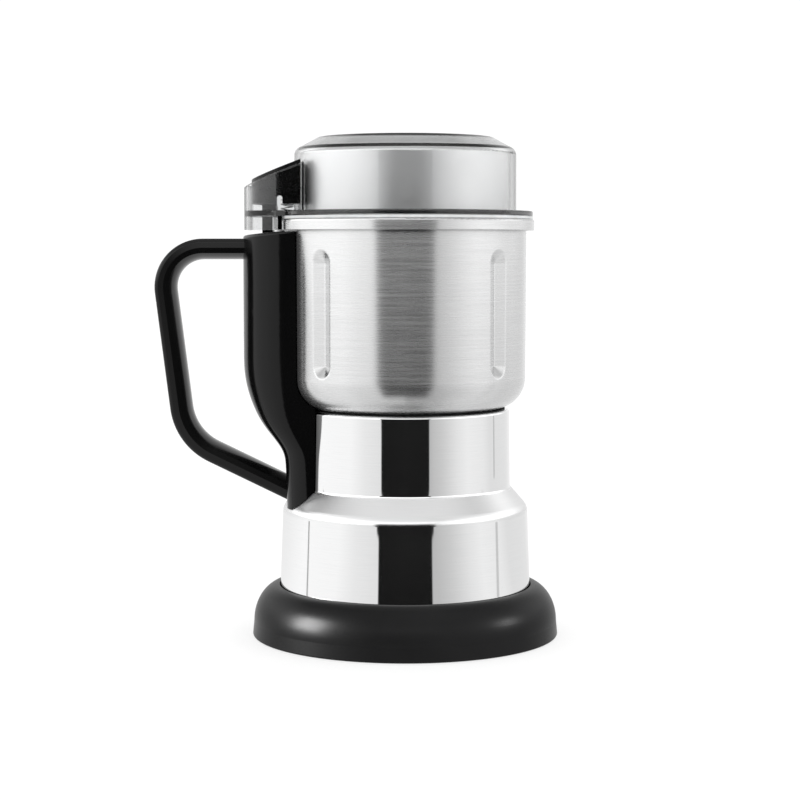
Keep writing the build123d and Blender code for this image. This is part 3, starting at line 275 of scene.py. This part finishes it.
def clear_plastic(name):
    """Clear moulded lid: faint waviness; painted shade darkens its colour at the flange and where the surface is
    seen edge on.
    """
    m = Mat(name, Metallic=0.0, Transmission_Weight=1.0, IOR=1.49)
    wave = m.noise(m.coords(), 30.0, 2.0, 0.5, 0.2)
    sep = m.node("ShaderNodeSeparateXYZ")
    m.link(m.coords(), sep.inputs[0])
    height = sep.outputs[2]
    # painted shade: the colour is darkened where the surface is seen edge on, by one curve on the top chamfer and
    # another on the walls, stronger on the ear
    weight = m.node("ShaderNodeLayerWeight")
    facing = weight.outputs["Facing"]
    zone = m.spread(height, 0.0, 1.0, 0.1938, 0.1952)
    slope = m.math("ADD", m.spread(facing, 0.0, 0.44, 0.62, 0.75), m.spread(facing, 0.0, 0.20, 0.86, 0.96))
    wall = m.spread(facing, 0.0, 0.76, 0.67, 0.82)
    ear = m.spread(sep.outputs[0], 1.0, 0.0, -0.0575, -0.0560)
    wall = m.math("MAXIMUM", wall, m.math("MULTIPLY", ear, m.spread(facing, 0.0, 0.85, 0.56, 0.72)))
    edge = m.math(
        "ADD",
        m.math("MULTIPLY", zone, slope),
        m.math("MULTIPLY", m.math("SUBTRACT", 1.0, zone), wall),
    )
    # painted shade: the side faces of the flange have their colour darkened to 0.3
    flange = m.math(
        "MULTIPLY",
        m.spread(height, 0.0, 0.70, 0.1684, 0.1687),
        m.spread(height, 1.0, 0.0, 0.1708, 0.1711),
    )
    up = m.node("ShaderNodeSeparateXYZ")
    m.link(m.node("ShaderNodeTexCoord").outputs["Normal"], up.inputs[0])
    rim = m.spread(m.math("ABSOLUTE", up.outputs[2]), 1.0, 0.0, 0.2, 0.8)
    flange = m.math("MULTIPLY", flange, rim)
    painted_shade = m.math("MULTIPLY", m.math("SUBTRACT", 1.0, edge), m.math("SUBTRACT", 1.0, flange))
    clear = m.ramp(wave, [(0.3, (0.955, 0.962, 0.965)), (0.7, (0.985, 0.988, 0.988))])
    tone = m.node("ShaderNodeVectorMath", operation="SCALE")
    m.link(clear, tone.inputs[0])
    m.link(painted_shade, tone.inputs["Scale"])
    m.link(tone.outputs[0], m.p.inputs["Base Color"])
    m.roughness(wave, 0.0, 0.018)
    m.bump(m.noise(m.coords(), 55.0, 1.0, 0.4), 0.02, 0.0001)
    tint = m.node("ShaderNodeVolumeAbsorption")
    tint.inputs["Color"].default_value = (0.0, 0.0, 0.0, 1.0)
    tint.inputs["Density"].default_value = 34.0
    m.link(tint.outputs[0], m.out.inputs["Volume"])
    return m.m


def soft_white(name, dark, light, sss=0.25, rough=0.45):
    """Pale silicone: milky, slightly uneven."""
    m = Mat(name, Metallic=0.0)
    m.set("Subsurface Weight", sss)
    m.set("Subsurface Radius", (0.0014, 0.0012, 0.0010))
    m.set("Subsurface Scale", 1.0)
    cloud = m.noise(m.coords(), 240.0, 3.0, 0.5)
    m.color(cloud, dark, light)
    m.roughness(cloud, rough * 0.85, rough * 1.2)
    m.bump(m.noise(m.coords(), 1600.0, 2.0, 0.5), 0.05, 0.00004)
    return m.m


def rubber(name, base=0.012):
    """Matt black rubber with a dusty bloom."""
    m = Mat(name, Metallic=0.0)
    m.set("Specular IOR Level", 0.35)
    bloom = m.noise(m.coords(), 160.0, 5.0, 0.65)
    grain = m.noise(m.coords(), 3200.0, 2.0, 0.6)
    m.color(bloom, (base * 0.7,) * 3, (base * 1.9,) * 3)
    m.roughness(bloom, 0.55, 0.78)
    m.bump(grain, 0.16, 0.00006)
    return m.m


def moulded(name, dark, light, rough=0.42):
    """Plain moulded plastic of an inner piece."""
    m = Mat(name, Metallic=0.0)
    cloud = m.noise(m.coords(), 90.0, 4.0, 0.55)
    grain = m.noise(m.coords(), 2000.0, 2.0, 0.5)
    m.color(cloud, dark, light)
    m.roughness(grain, rough * 0.85, rough * 1.2)
    m.bump(grain, 0.06, 0.00005)
    return m.m


def laminated(name):
    """Stack of punched sheets seen from the edge."""
    m = Mat(name, Metallic=1.0)
    sheets = m.wave(m.coords(), 310.0, "Z", 0.0, 0.0)
    stain = m.noise(m.coords(), 220.0, 5.0, 0.6)
    m.color(m.math("MULTIPLY_ADD", stain, 0.5, m.math("MULTIPLY", sheets, 0.5)),
            (0.16, 0.155, 0.15), (0.42, 0.415, 0.41), 0.2, 0.8)
    m.roughness(stain, 0.35, 0.55)
    m.bump(sheets, 0.5, 0.00012)
    return m.m


def wound_copper(name):
    """Enamelled copper turns lying side by side."""
    m = Mat(name, Metallic=1.0)
    m.set("Coat Weight", 0.6)
    m.set("Coat Roughness", 0.12)
    turns = m.wave(m.round_coords(0.0, 1.0, 1.0), 480.0, "Y", 1.2, 2.0)
    tint = m.noise(m.coords(), 260.0, 3.0, 0.5)
    m.color(tint, (0.50, 0.20, 0.07), (0.78, 0.38, 0.16))
    m.roughness(tint, 0.22, 0.36)
    m.bump(turns, 0.7, 0.0002)
    return m.m


def cast_metal(name, dark, light, rough=0.42):
    """Die-cast alloy with a slightly sandy skin."""
    m = Mat(name, Metallic=1.0)
    sand = m.noise(m.coords(), 1300.0, 4.0, 0.65)
    cloud = m.noise(m.coords(), 70.0, 3.0, 0.5)
    m.color(cloud, dark, light)
    m.roughness(sand, rough * 0.8, rough * 1.25)
    m.bump(sand, 0.22, 0.00008)
    return m.m


def carbon_block(name):
    """Pressed carbon: nearly black with bright specks."""
    m = Mat(name, Metallic=0.25)
    specks = m.voronoi(m.coords(), 5200.0)
    m.color(specks, (0.055, 0.055, 0.058), (0.012, 0.012, 0.013), 0.1, 0.5)
    m.roughness(specks, 0.35, 0.6)
    m.bump(specks, 0.2, 0.00005)
    return m.m


M = {
    "housing_steel": polished_steel("housing_steel"),
    "bowl_steel": brushed_steel("bowl_steel"),
    "liner_steel": satin_steel("liner_steel"),
    "blade_steel": machined_steel("blade_steel", 0.58, 0.78, 0.22),
    "screw_steel": machined_steel("screw_steel", 0.48, 0.66, 0.30),
    "shaft_steel": machined_steel("shaft_steel", 0.52, 0.72, 0.18, 2200.0),
    "spring_steel": machined_steel("spring_steel", 0.40, 0.60, 0.28, 2600.0),
    "core_steel": laminated("core_steel"),
    "handle_black": gloss_black("handle_black"),
    "base_black": satin_black("base_black"),
    "button_black": satin_black("button_black", 0.0040, 0.2, 0.3, 0.25),
    "inner_black": moulded("inner_black", (0.012, 0.012, 0.013), (0.030, 0.030, 0.031)),
    "inner_white": moulded("inner_white", (0.62, 0.62, 0.60), (0.80, 0.80, 0.78), 0.36),
    "inner_ivory": moulded("inner_ivory", (0.46, 0.43, 0.36), (0.60, 0.57, 0.50), 0.40),
    "lead_skin": moulded("lead_skin", (0.018, 0.018, 0.020), (0.045, 0.045, 0.048), 0.34),
    "clear_lid": clear_plastic("clear_lid"),
    "lid_silicone": soft_white("lid_silicone", (0.66, 0.67, 0.67), (0.80, 0.81, 0.81)),
    "black_silicone": rubber("black_silicone", 0.009),
    "foot_rubber": rubber("foot_rubber", 0.013),
    "winding_copper": wound_copper("winding_copper"),
    "copper": cast_metal("copper", (0.60, 0.27, 0.12), (0.80, 0.42, 0.23), 0.26),
    "bronze": cast_metal("bronze", (0.42, 0.28, 0.12), (0.60, 0.42, 0.20), 0.34),
    "brass": cast_metal("brass", (0.60, 0.46, 0.18), (0.78, 0.63, 0.30), 0.30),
    "cast_aluminium": cast_metal("cast_aluminium", (0.50, 0.50, 0.51), (0.66, 0.66, 0.67)),
    "carbon": carbon_block("carbon"),
}

FINISH = {
    "base_ring": "base_black",
    "base_plate": "inner_black",
    "base_screws": "screw_steel",
    "housing_screws": "screw_steel",
    "foot_ring": "foot_rubber",
    "cord_grommet": "foot_rubber",
    "motor_housing": "housing_steel",
    "bowl": "bowl_steel",
    "bowl_gasket": "black_silicone",
    "bowl_screws": "screw_steel",
    "shaft_seal": "black_silicone",
    "blade_spacer": "shaft_steel",
    "blade_lower": "blade_steel",
    "blade_upper": "blade_steel",
    "blade_washer": "shaft_steel",
    "blade_nut": "shaft_steel",
    "motor_shaft": "shaft_steel",
    "armature_core": "core_steel",
    "armature_winding": "winding_copper",
    "commutator": "copper",
    "cooling_fan": "inner_ivory",
    "stator_core": "core_steel",
    "stator_coils": "winding_copper",
    "motor_upper_bracket": "cast_aluminium",
    "upper_bush": "bronze",
    "motor_lower_bracket": "cast_aluminium",
    "lower_bush": "bronze",
    "motor_bolts": "screw_steel",
    "brush_holders": "inner_ivory",
    "carbon_brushes": "carbon",
    "brush_springs": "spring_steel",
    "handle_shell": "handle_black",
    "handle_cover": "handle_black",
    "cover_screws": "screw_steel",
    "handle_screws": "screw_steel",
    "push_rod": "inner_white",
    "rod_spring": "spring_steel",
    "switch_body": "inner_black",
    "switch_plunger": "inner_white",
    "switch_terminals": "brass",
    "switch_screws": "screw_steel",
    "switch_leads": "lead_skin",
    "lid_shell": "clear_lid",
    "lid_liner": "liner_steel",
    "lid_seal": "lid_silicone",
    "start_button": "button_black",
    "button_spring": "spring_steel",
}
for name, obj in nodes.items():
    obj.data.materials.clear()
    obj.data.materials.append(M[FINISH[name]])
nodes["start_button"].visible_glossy = False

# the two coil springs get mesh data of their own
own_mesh(nodes["button_spring"])
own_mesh(nodes["rod_spring"])


# ------------------------------------------------------------------ stage
def emission(name, build):
    """A stage material that only gives light, its strength worked out by build."""
    mat = bpy.data.materials.new(name)
    mat.use_nodes = True
    t = mat.node_tree
    t.nodes.clear()
    out = t.nodes.new("ShaderNodeOutputMaterial")
    em = t.nodes.new("ShaderNodeEmission")
    t.links.new(em.outputs[0], out.inputs["Surface"])
    build(t, em)
    return mat


def mesh_object(name, verts, faces):
    me = bpy.data.meshes.new(name)
    me.from_pydata(verts, [], faces)
    me.update()
    ob = bpy.data.objects.new(name, me)
    scene.collection.objects.link(ob)
    return ob


# floor: wide and pale
N = 96
ring = lambda r, z: [(r * math.cos(2 * math.pi * i / N), r * math.sin(2 * math.pi * i / N), z) for i in range(N)]
floor = mesh_object("floor", ring(6.0, 0.0), [tuple(range(N))])
fm = Mat("floor_paper", Metallic=0.0)
fm.color(fm.noise(fm.coords(), 3.0, 2.0, 0.5), (0.300, 0.300, 0.300), (0.310, 0.310, 0.310))
fm.set("Emission Color", (1.0, 1.0, 1.0, 1.0))
fm.set("Emission Strength", 0.72)
fm.roughness(fm.noise(fm.coords(), 40.0, 2.0, 0.5), 0.85, 0.95)
fm.set("Specular IOR Level", 0.1)
floor.data.materials.append(fm.m)

# surround: what the shiny pieces mirror, a pale room with a dark front
WALL_R, WALL_Z = 1.25, 2.6
rings = [ring(r, 0.0004) for r in (0.070, 0.15, 0.30, 0.50, 0.70, 0.95, WALL_R)]
rings += [ring(WALL_R, WALL_Z * k / 8) for k in range(1, 9)]
rings += [ring(WALL_R * 0.6, WALL_Z), ring(WALL_R * 0.2, WALL_Z)]
verts = [v for r in rings for v in r]
faces = []
for k in range(len(rings) - 1):
    for i in range(N):
        j = (i + 1) % N
        faces.append((k * N + i, k * N + j, (k + 1) * N + j, (k + 1) * N + i))
faces.append(tuple(range((len(rings) - 1) * N, len(rings) * N)))
surround = mesh_object("surround", verts, faces)

# strength by the angle from the front in degrees: the left card is the brighter one
LEFT = [(0, 0.84), (27, 0.84), (43, 0.90), (60, 1.03), (100, 1.06), (131, 0.95), (155, 0.88), (180, 1.0)]
RIGHT = [(0, 0.55), (27, 0.55), (40, 0.66), (57, 0.85), (70, 0.94), (92, 0.90), (104, 0.81), (140, 0.83), (180, 1.0)]


def surround_nodes(t, em):
    def new(kind, **kw):
        n = t.nodes.new(kind)
        for k, v in kw.items():
            setattr(n, k, v)
        return n

    def calc(op, a, b=None):
        n = new("ShaderNodeMath", operation=op)
        for i, v in enumerate((a, b)):
            if v is None:
                continue
            if isinstance(v, (int, float)):
                n.inputs[i].default_value = v
            else:
                t.links.new(v, n.inputs[i])
        return n.outputs[0]

    def ramp(fac, stops):
        n = new("ShaderNodeValToRGB")
        el = n.color_ramp.elements
        while len(el) < len(stops):
            el.new(0.5)
        for _ in range(2):
            for e, (deg, v) in zip(el, stops):
                e.position = deg / 180.0
                e.color = (v, v, v, 1.0)
        t.links.new(fac, n.inputs["Fac"])
        return n.outputs["Color"]

    def step(value, lo, hi, a=0.0, b=1.0):
        n = new("ShaderNodeMapRange", interpolation_type="SMOOTHSTEP")
        n.inputs["From Min"].default_value = lo
        n.inputs["From Max"].default_value = hi
        n.inputs["To Min"].default_value = a
        n.inputs["To Max"].default_value = b
        t.links.new(value, n.inputs["Value"])
        return n.outputs["Result"]

    def blend(fac, a, b):
        n = new("ShaderNodeMix", data_type="FLOAT")
        for i, v in enumerate((fac, a, b)):
            if isinstance(v, (int, float)):
                n.inputs[i if i == 0 else i + 1].default_value = v
            else:
                t.links.new(v, n.inputs[i if i == 0 else i + 1])
        return n.outputs[0]

    pos = new("ShaderNodeTexCoord").outputs["Object"]
    sep = new("ShaderNodeSeparateXYZ")
    t.links.new(pos, sep.inputs[0])
    x, y, z = sep.outputs
    side = calc("ABSOLUTE", x)
    rad = calc("SQRT", calc("ADD", calc("MULTIPLY", x, x), calc("MULTIPLY", y, y)))
    turn = calc("DIVIDE", calc("ARCTAN2", side, calc("MULTIPLY", y, -1.0)), math.pi)
    right = calc("GREATER_THAN", x, 0.0)
    left = calc("SUBTRACT", 1.0, right)
    around = blend(right, ramp(turn, LEFT), ramp(turn, RIGHT))

    def angle_from(apex):
        """Angle from the front seen from a point before the axis, 0 to 1 for 180 degrees."""
        return calc("DIVIDE", calc("ARCTAN2", side, calc("MULTIPLY", calc("ADD", y, apex), -1.0)), math.pi)

    # joints of the cards, thin dark lines that run out from the middle
    spoke = angle_from(0.039)

    def joint(deg, half, where):
        off = calc("ABSOLUTE", calc("SUBTRACT", spoke, deg / 180.0))
        return calc("MULTIPLY", calc("LESS_THAN", off, half / 180.0), where)

    near = calc("LESS_THAN", rad, 0.59)
    far = calc("MULTIPLY", calc("GREATER_THAN", rad, 0.66), calc("LESS_THAN", z, 0.02))
    lines = calc("ADD", joint(100.7, 0.9, calc("MULTIPLY", calc("MULTIPLY", left, near), 1.9)), joint(93.9, 1.5, calc("MULTIPLY", right, near)))
    lines = calc("ADD", lines, joint(113.9, 1.2, calc("MULTIPLY", right, far)))
    around = calc("MULTIPLY", around, calc("SUBTRACT", 1.0, calc("MULTIPLY", lines, 0.32)))

    # the dark front: a wedge on the floor and a panel on the wall, ended at a height
    open_at = calc("ADD", step(rad, 0.59, 0.66, 24.3 / 180.0, 26.0 / 180.0), step(z, 0.02, 0.05, 0.0, 1.7 / 180.0))
    wedge = step(calc("SUBTRACT", angle_from(0.024), open_at), -0.7 / 180.0, 0.7 / 180.0, 1.0, 0.0)
    wedge = calc("MULTIPLY", wedge, step(rad, 0.125, 0.150))
    dark = calc("MULTIPLY", wedge, step(z, 0.28, 0.62, 1.0, 0.0))
    lifted = blend(dark, blend(step(z, 0.28, 0.62), around, blend(wedge, around, 0.85)), 0.01)
    gain = calc("ADD", 1.0, calc("MULTIPLY", calc("MULTIPLY", step(z, 0.17, 0.34), step(z, 0.75, 1.05, 1.0, 0.0)), calc("MULTIPLY", step(turn, 118.0 / 180.0, 150.0 / 180.0, 1.0, 0.0), WALL_GAIN)))
    lifted = calc("MULTIPLY", lifted, gain)
    rear = calc("MULTIPLY", step(y, 0.0, 0.35), step(z, 1.1, 1.5))
    level = blend(step(z, 1.05, 2.3), lifted, blend(rear, 1.0, REAR_TOP))
    level = blend(rear, level, REAR_TOP)
    # seen straight through the clear lid the room is even
    mirrored = calc("GREATER_THAN", new("ShaderNodeLightPath").outputs["Glossy Depth"], 0.5)
    t.links.new(blend(mirrored, THROUGH, level), em.inputs["Strength"])


REAR_TOP = 0.5
WALL_GAIN = 1.0
THROUGH = 0.95
surround.data.materials.append(emission("surround_light", surround_nodes))
surround.visible_camera = False
surround.visible_diffuse = False
surround.visible_shadow = False
surround.visible_volume_scatter = False

# even light of the room
world = bpy.data.worlds.new("room")
world.use_nodes = True
bg = world.node_tree.nodes["Background"]
bg.inputs["Color"].default_value = (1.0, 1.0, 1.0, 1.0)
bg.inputs["Strength"].default_value = 1.06
scene.world = world


# two small boxes that draw the streaks on the moulded base, and light nothing else
base_only = bpy.data.collections.new("base_only")
base_only.objects.link(nodes["base_ring"])


def softbox(name, place, aim, size_x, size_y, radiance):
    data = bpy.data.lights.new(name, "AREA")
    data.shape = "RECTANGLE"
    data.size, data.size_y = size_x, size_y
    data.energy = radiance * math.pi * size_x * size_y
    ob = bpy.data.objects.new(name, data)
    ob.location = place
    ob.rotation_euler = (Vector(aim) - Vector(place)).to_track_quat("-Z", "Y").to_euler()
    scene.collection.objects.link(ob)
    ob.visible_camera = False
    ob.visible_diffuse = False
    ob.light_linking.receiver_collection = base_only
    return ob


softbox("softbox_left", (-0.925, -0.20, 0.335), (0.0, 0.0, 0.06), 0.40, 0.42, 108.0)
softbox("softbox_right", (0.95, -0.10, 0.36), (0.0, 0.0, 0.06), 0.26, 0.16, 34.0)
